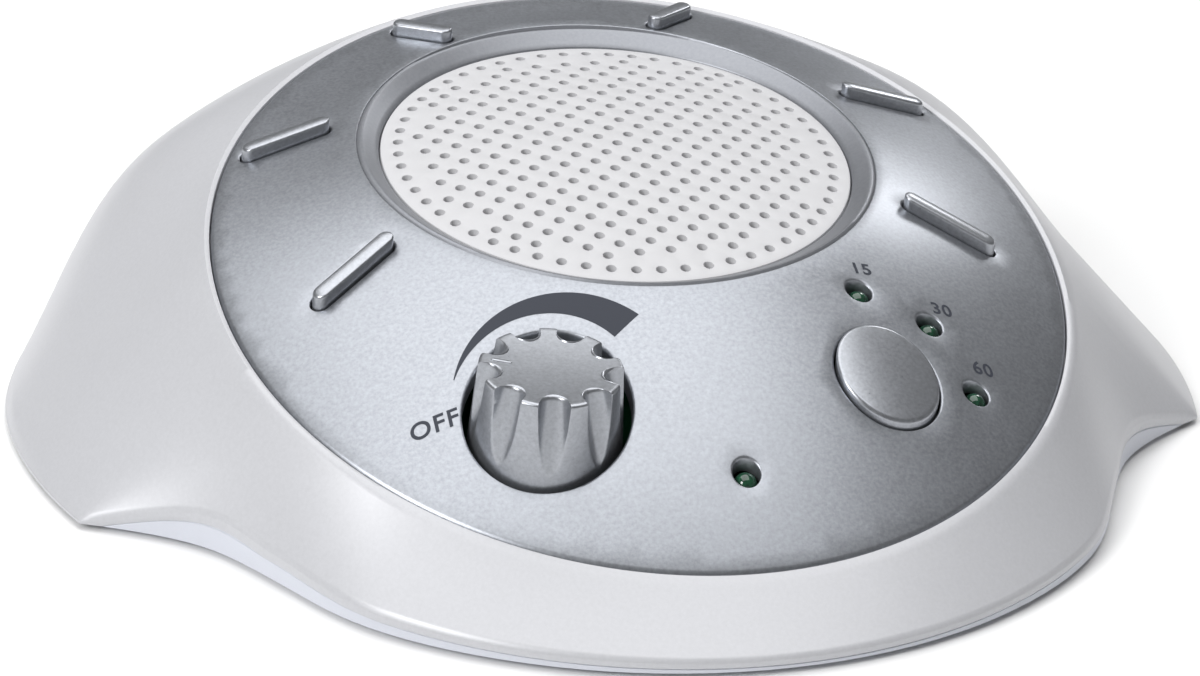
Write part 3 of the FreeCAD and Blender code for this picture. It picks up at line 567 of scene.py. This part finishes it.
grille = dict(y=12.8, z=34.1, lean=7.35, radius=31.3, ring=34.4, rise=2.5, wall=1.6, depth=3.6,
              slope=31.0, ledge=1.9, pitch=2.95, hole=0.68, edgeHoles=57, edgeRadius=28.95)
knob = dict(x=-22.1, y=-34.1, hole=10.4, foot=9.7, top=8.9, height=12.4, rise=5.9, edge=0.4,
            flutes=9, fluteRadius=1.9, fluteTurn=-102.5, fluteTop=8.55, fluteLean=17.0, dish=0.5,
            pointer=157.5, pointerLong=2.6, pointerWide=0.55, pointerOut=6.1)
timer = dict(x=22.1, y=-34.1, hole=7.0, gap=0.25, rise=0.9, edge=0.5)
key = dict(width=2.8, gap=0.25, rise=1.7, edge=0.4, low=-1.4)
lamp = dict(hole=1.75, radius=1.5, sink=0.4, circle=12.1, powerY=-45.6, sides=32, collar=1.9,
            collarTop=-4.3, foot=-5.3)

keySpots = []
for side in (-1, 1):
    keySpots += [(side * 40.2, -6.6, -29.5 * side, 13.2), (side * 42.0, 25.2, -5.5 * side, 12.4),
                 (side * 17.9, 47.6, 37.0 * side, 9.2)]
keySpots.sort(key=lambda spot: math.atan2(spot[0], spot[1]))
lampSpots = dict(power_led=(0.0, lamp["powerY"]))
for minutes, angle in ((15, 90), (30, 45), (60, 0)):
    a = math.radians(angle)
    lampSpots["timer_led_%d" % minutes] = (timer["x"] + lamp["circle"] * math.cos(a),
                                           timer["y"] + lamp["circle"] * math.sin(a))

ringSeat = Seat(0.0, grille["y"], grille["lean"], z=grille["z"])
openings = [rolledEdge(ringSeat, circleLoop(grille["ring"] + 0.03, 160), 0.18,
                       panel["wall"])]
openings.append(rolledEdge(Seat(knob["x"], knob["y"]), circleLoop(knob["hole"], 88), 0.4,
                           panel["wall"]))
openings.append(rolledEdge(Seat(timer["x"], timer["y"]), circleLoop(timer["hole"], 72), 0.35,
                           panel["wall"]))
for x, y in lampSpots.values():
    openings.append(rolledEdge(Seat(x, y), circleLoop(lamp["hole"], 36), 0.3,
                               panel["slotWall"]))
for x, y, angle, length in keySpots:
    openings.append(rolledEdge(Seat(x, y, turn=angle), obroundLoop(length, key["width"]), 0.3,
                               panel["slotWall"]))
rimLoops = []
for k in range(4):
    a = math.pi / 2 * k / 3
    radius = panel["radius"] - panel["edge"] * (1 - math.sin(a))
    drop = panel["edge"] * (1 - math.cos(a))
    rimLoops.append([(x, y, crownHeight(x, y) - drop) for x, y in circleLoop(radius, 240)(0.0)])
rimLoops.append([(x, y, crownHeight(x, y) - 2.0) for x, y in circleLoop(panel["radius"], 240)(0.0)])
points, faces = stampedSheet(rimLoops, openings, crownHeight, panel["radius"], 2.0)
addPiece("panelSkin", points, faces, "housing", panelSilver, ["control_panel"])
print("panel done:", len(faces), "faces")

# Grille ring: a funnel up to the crown

rows = []
ringCount = 200
for k in range(ringCount):
    a = 2 * math.pi * k / ringCount
    c, d = math.cos(a), math.sin(a)
    slope = math.tan(math.radians(grille["slope"]))
    inner, outer = grille["radius"] + 0.15, grille["ring"]

    def crownLift(radius):
        p = ringSeat.onCrown(radius * c, radius * d)
        return (p - ringSeat.spot).dot(ringSeat.out)

    crest = outer - 0.45
    for _ in range(12):
        crest += (crownLift(crest) - 0.02 - (crest - inner) * slope) / (slope + 0.3) * 0.7
        crest = min(outer - 0.4, max(inner + 0.4, crest))
    crestLift = min((crest - inner) * slope, crownLift(crest) - 0.02)
    rim = crownLift(outer) - 0.02
    column = [(inner - grille["ledge"], -grille["depth"]),
              (inner - grille["ledge"], -grille["wall"] - 0.05),
              (inner, -grille["wall"] - 0.05), (inner, -0.15), (inner + 0.15, 0.05)]
    column += [(inner + 0.15 + (crest - inner - 0.35) * t, 0.05 + (crestLift - 0.17) * t)
               for t in (0.25, 0.5, 0.75, 1.0)]
    column += [(crest, crestLift - 0.01), (crest + 0.2, crestLift)]
    column += [(outer - 0.12, rim), (outer, rim - 0.12), (outer, -grille["depth"])]
    rows.append([ringSeat.at(r * c, r * d, w) for r, w in column])
points = [p for row in rows for p in row]
addPiece("ringBody", points, strip(rows, loop=True), "housing", ringSilver,
         ["grille_ring"])

# Perforated dome

domeRadius = (grille["radius"] ** 2 + grille["rise"] ** 2) / (2 * grille["rise"])


def domeHeight(u, v):
    return math.sqrt(domeRadius ** 2 - u * u - v * v) - (domeRadius - grille["rise"])


holeSpots = []
step = grille["pitch"] / math.sqrt(2)
reach = int(grille["radius"] / step)
for i in range(-reach, reach + 1):
    for j in range(-reach, reach + 1):
        u, v = i * step, j * step
        if (i + j) % 2 == 0 and math.hypot(u, v) < grille["edgeRadius"] - 0.62 * grille["pitch"]:
            holeSpots.append((u, v))
for k in range(grille["edgeHoles"]):
    a = 2 * math.pi * k / grille["edgeHoles"]
    holeSpots.append((grille["edgeRadius"] * math.cos(a), grille["edgeRadius"] * math.sin(a)))


def pierced(u, v):
    loops = []
    for grow, drop in ((0.12, 0.0), (0.035, 0.035), (0.0, 0.12), (0.0, grille["wall"])):
        ring = []
        for k in range(12):
            a = 2 * math.pi * (k + 0.5) / 12
            p = u + (grille["hole"] + grow) * math.cos(a)
            q = v + (grille["hole"] + grow) * math.sin(a)
            ring.append((p, q, domeHeight(p, q) - drop))
        loops.append(ring)
    return loops


edgeLoops = []
for grow, drop in ((-0.35, 0.0), (-0.1, 0.08), (0.0, 0.3), (0.0, grille["wall"])):
    edgeLoops.append([(p, q, domeHeight(p, q) - drop)
                      for p, q in circleLoop(grille["radius"] - 0.02, 180)(grow)])
points, faces = stampedSheet(edgeLoops, [pierced(u, v) for u, v in holeSpots], domeHeight,
                             grille["radius"], 2.0, 0.4)
points = [ringSeat.at(*p) for p in points]
addPiece("grilleDome", points, faces, "housing", grillePaint, ["speaker_grille"])
print("grille done:", len(faces), "faces")

# Fluted volume knob

knobSeat = Seat(knob["x"], knob["y"])


def bodyRadius(z):
    return knob["foot"] + (knob["top"] - knob["foot"]) * z / knob["height"]


def fluteFloor(off, z):
    # distance out to the leaning round cutter, off radians away from a flute's middle
    lean = math.radians(knob["fluteLean"])
    middle = knob["fluteTop"] + (knob["height"] - z) * math.tan(lean)
    squeeze, radius = math.cos(lean) ** 2, knob["fluteRadius"]
    a = math.cos(off) ** 2 * squeeze + math.sin(off) ** 2
    b = -2 * middle * math.cos(off) * squeeze
    c = middle ** 2 * squeeze - radius ** 2
    inside = b * b - 4 * a * c
    return 99.0 if inside < 0 else (-b - math.sqrt(inside)) / (2 * a)


def fluteHalf(z):
    # half the angle a flute opens at this height
    if fluteFloor(0.0, z) >= bodyRadius(z) - 0.005:
        return 0.02
    low, high = 0.0, 0.32
    for _ in range(30):
        middle = (low + high) / 2
        if fluteFloor(middle, z) < bodyRadius(z):
            low = middle
        else:
            high = middle
    return max(0.02, low)


def softened(distance, size):
    # how far an edge's rounding takes the surface down at this distance from it
    gap = max(0.0, size - distance)
    return gap * gap / max(size, 0.001) / 3


def knobRow(z, inset=0.0):
    # radius and direction of each point round the knob, closer together at the flutes' edges
    body, half, row = bodyRadius(z), fluteHalf(z), []
    rounding = min(0.16, max(0.0, (body - fluteFloor(0.0, z)) * 0.4))
    pitch = 2 * math.pi / knob["flutes"]
    across = [-1.0, -0.97, -0.9, -0.78, -0.6, -0.4, -0.2, 0.0, 0.2, 0.4, 0.6, 0.78, 0.9, 0.97]
    land = [0.0, 0.03, 0.1, 0.22, 0.36, 0.5, 0.64, 0.78, 0.9, 0.97]
    for k in range(knob["flutes"]):
        middle = math.radians(knob["fluteTurn"]) + k * pitch
        for share in across:
            radius = min(body, fluteFloor(share * half, z))
            row.append((radius - softened(body - radius, rounding) - inset, middle + share * half))
        for share in land:
            edge = min(share, 1 - share) * (pitch - 2 * half) * body
            row.append((body - softened(edge, rounding) - inset,
                        middle + half + share * (pitch - 2 * half)))
    return row


def knobTop(radius):
    return knob["rise"] - knob["dish"] * max(0.0, 1 - (radius / (knob["top"] - 0.6)) ** 2) * 0.6


rows, edge = [], knob["edge"]
base = knob["rise"] - knob["height"]
steps = 44
levels = [((knob["height"] - edge) * k / steps, 0.0) for k in range(steps)]
for k in range(6):
    a = math.pi / 2 * k / 5
    levels.append((knob["height"] - edge * (1 - math.sin(a)), edge * (1 - math.cos(a))))
for z, inset in levels:
    rows.append([knobSeat.at(r * math.cos(a), r * math.sin(a), base + z)
                 for r, a in knobRow(z, inset)])
for share in (0.98, 0.94, 0.87, 0.77, 0.62, 0.42, 0.2, 0.05):
    rows.append([knobSeat.at(r * share * math.cos(a), r * share * math.sin(a), knobTop(r * share))
                 for r, a in knobRow(knob["height"], edge)])
count = len(rows[0])
points = [p for row in rows for p in row]
faces = strip(rows)
points.append(knobSeat.at(0, 0, knobTop(0)))
top = len(points) - 1
faces += [((len(rows) - 1) * count + i, (len(rows) - 1) * count + (i + 1) % count, top)
          for i in range(count)]
points.append(knobSeat.at(0, 0, knob["rise"] - knob["height"]))
faces += [((i + 1) % count, i, len(points) - 1) for i in range(count)]
addPiece("knobBody", points, faces, "knob", buttonSilver, ["volume_knob"])

# Pointer: a short raised line on the knob's top

a = math.radians(knob["pointer"])
points, faces = [], []
pointer = obroundLoop(knob["pointerLong"], knob["pointerWide"], 8)
rings = []
for grow, lift in ((0.0, -0.1), (0.0, 0.02), (-0.06, 0.09), (-0.2, 0.12)):
    ring = []
    for u, v in pointer(grow):
        p, q = u + knob["pointerOut"], v
        ring.append(knobSeat.at(p * math.cos(a) - q * math.sin(a),
                                p * math.sin(a) + q * math.cos(a),
                                knobTop(math.hypot(p, q)) + lift))
    rings.append(ring)
points = [p for ring in rings for p in ring]
faces = strip(rings) + [tuple(range(len(points) - len(rings[0]), len(points)))]
addPiece("knobPointer", points, faces, "knob", buttonSilver)

# Sound keys and timer button

for number, (x, y, angle, length) in enumerate(keySpots, 1):
    seat = Seat(x, y, turn=angle)
    loop = obroundLoop(length - 2 * key["gap"], key["width"] - 2 * key["gap"])
    half = key["width"] / 2 - key["gap"]
    points, faces = domedKey(seat, loop, half, key["rise"], key["edge"], key["low"], 0.08)
    addPiece("soundKey%d" % number, points, faces, "sound_key_%d" % number, buttonSilver,
             ["sound_button_%d" % number])
seat = Seat(timer["x"], timer["y"])
radius = timer["hole"] - timer["gap"]
points, faces = domedKey(seat, circleLoop(radius, 96), radius, timer["rise"], timer["edge"],
                         key["low"], 0.25, 5)
addPiece("timerKey", points, faces, "timer_key", buttonSilver, ["timer_button"])

# Indicator lamps with their seats

for name, (x, y) in lampSpots.items():
    seat = Seat(x, y)
    profile = [(lamp["collar"], lamp["foot"]), (lamp["collar"], lamp["collarTop"]),
               (lamp["radius"], lamp["collarTop"])]
    for k in range(9):
        a = math.pi / 2 * k / 8
        profile.append((max(lamp["radius"] * math.cos(a), 0.01),
                        lamp["radius"] * math.sin(a) - lamp["sink"] - lamp["radius"]))
    turns = [2 * math.pi * i / lamp["sides"] for i in range(lamp["sides"])]
    rings = [[seat.at(r * math.cos(t), r * math.sin(t), w) for t in turns] for r, w in profile]
    points = [p for ring in rings for p in ring]
    addPiece(name + "_lens", points, strip(rings), "housing", greenLens, [name])
print("controls done")

# Printed marks: plain numbers, OFF and the growing volume band

marks = dict(lift=0.03, spots=(("15", 23.6, -18.5, 2.4), ("30", 33.3, -22.9, 2.4),
                               ("60", 36.4, -30.6, 2.4), ("OFF", -35.7, -31.7, 2.9)))


def printWord(word, x, y, size):
    text = bpy.data.curves.new("mark_" + word, "FONT")
    text.body, text.size, text.align_x, text.align_y = word, size, "CENTER", "CENTER"
    text.space_character, text.resolution_u, text.offset = 1.12, 6, 0.05
    maker = bpy.data.objects.new("maker", text)
    bpy.context.scene.collection.objects.link(maker)
    bpy.context.view_layer.update()
    flat = bpy.data.meshes.new_from_object(maker)
    shape = bmesh.new()
    shape.from_mesh(flat)
    bmesh.ops.triangulate(shape, faces=shape.faces)
    points = []
    for v in shape.verts:
        px, py = x + v.co.x * 1.12, y + v.co.y
        points.append((px, py, crownHeight(px, py) + marks["lift"]))
    faces = [tuple(v.index for v in f.verts) for f in shape.faces]
    shape.free()
    bpy.data.objects.remove(maker)
    bpy.data.meshes.remove(flat)
    addPiece("mark_" + word, points, faces, "housing", inkGrey)


for word, x, y, size in marks["spots"]:
    printWord(word, x, y, size)
band = dict(start=145.7, end=33.0, inner=12.2, thin=12.3, thick=16.7)
rows = []
for k in range(61):
    share = k / 60
    a = math.radians(band["start"] + (band["end"] - band["start"]) * share)
    outer = band["thin"] + (band["thick"] - band["thin"]) * share
    row = []
    for t in (0, 0.33, 0.67, 1):
        r = band["inner"] + (outer - band["inner"]) * t
        px, py = knob["x"] + r * math.cos(a), knob["y"] + r * math.sin(a)
        row.append((px, py, crownHeight(px, py) + marks["lift"]))
    rows.append(row)
points = [p for row in rows for p in row]
addPiece("volumeBand", points, strip(rows, closed=False), "housing", inkGrey)
print("marks done")

# The pieces that keep their solids from the model

kept = dict(base_shell=palePlastic, battery_door=palePlastic, speaker_frame=zincSteel,
            speaker_cone=paperCone, speaker_magnet=ferrite, speaker_screws=platedSteel,
            circuit_board=solderMask, rear_board=solderMask, board_screws=platedSteel,
            push_switches=blackMoulding, volume_pot=zincSteel, pot_shaft=platedSteel,
            dc_jack=blackMoulding, battery_springs=platedSteel, battery_plates=platedSteel,
            case_screws=platedSteel, rubber_feet=softRubber)
for name, finish in kept.items():
    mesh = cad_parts[name].data
    mesh.materials.clear()
    mesh.materials.append(finish)

# Floor, backdrop and lights

studio = dict(size=6.0, floor=0.93, world=0.17)


def stageSheet(name, corners, material):
    mesh = bpy.data.meshes.new(name)
    mesh.from_pydata(corners, [], [(0, 1, 2, 3)])
    mesh.materials.append(material)
    sheet = bpy.data.objects.new(name, mesh)
    bpy.context.scene.collection.objects.link(sheet)


paleFloor = Finish("paleFloor", base_color=(studio["floor"],) * 3, roughness=0.9)
half = studio["size"] / 2
stageSheet("floor", [(-half, -half, 0), (half, -half, 0), (half, half, 0), (-half, half, 0)],
           paleFloor.material)
world = bpy.data.worlds.new("studio")
bpy.context.scene.world = world
world.use_nodes = True
sky = world.node_tree.nodes["Background"]
sky.inputs["Color"].default_value = (1, 1, 1, 1)
sky.inputs["Strength"].default_value = studio["world"]


def softbox(name, spot, aim, width, depth, power):
    light = bpy.data.lights.new(name, "AREA")
    light.shape, light.size, light.size_y, light.energy = "RECTANGLE", width, depth, power
    lampObject = bpy.data.objects.new(name, light)
    bpy.context.scene.collection.objects.link(lampObject)
    lampObject.location = spot
    lampObject.rotation_euler = (Vector(aim) - Vector(spot)).to_track_quat("-Z", "Y").to_euler()


softbox("topBox", (-0.03, 0.2, 1.0), (-0.03, 0.2, 0.0), 1.15, 1.3, 11.0)
softbox("keyBox", (-1.1, -0.6, 0.85), (0, 0, 0.02), 0.6, 0.6, 13.0)
softbox("sideBox", (0.72, 0.70, 0.65), (0, 0, 0.02), 0.22, 0.22, 1.4)
print("studio done")
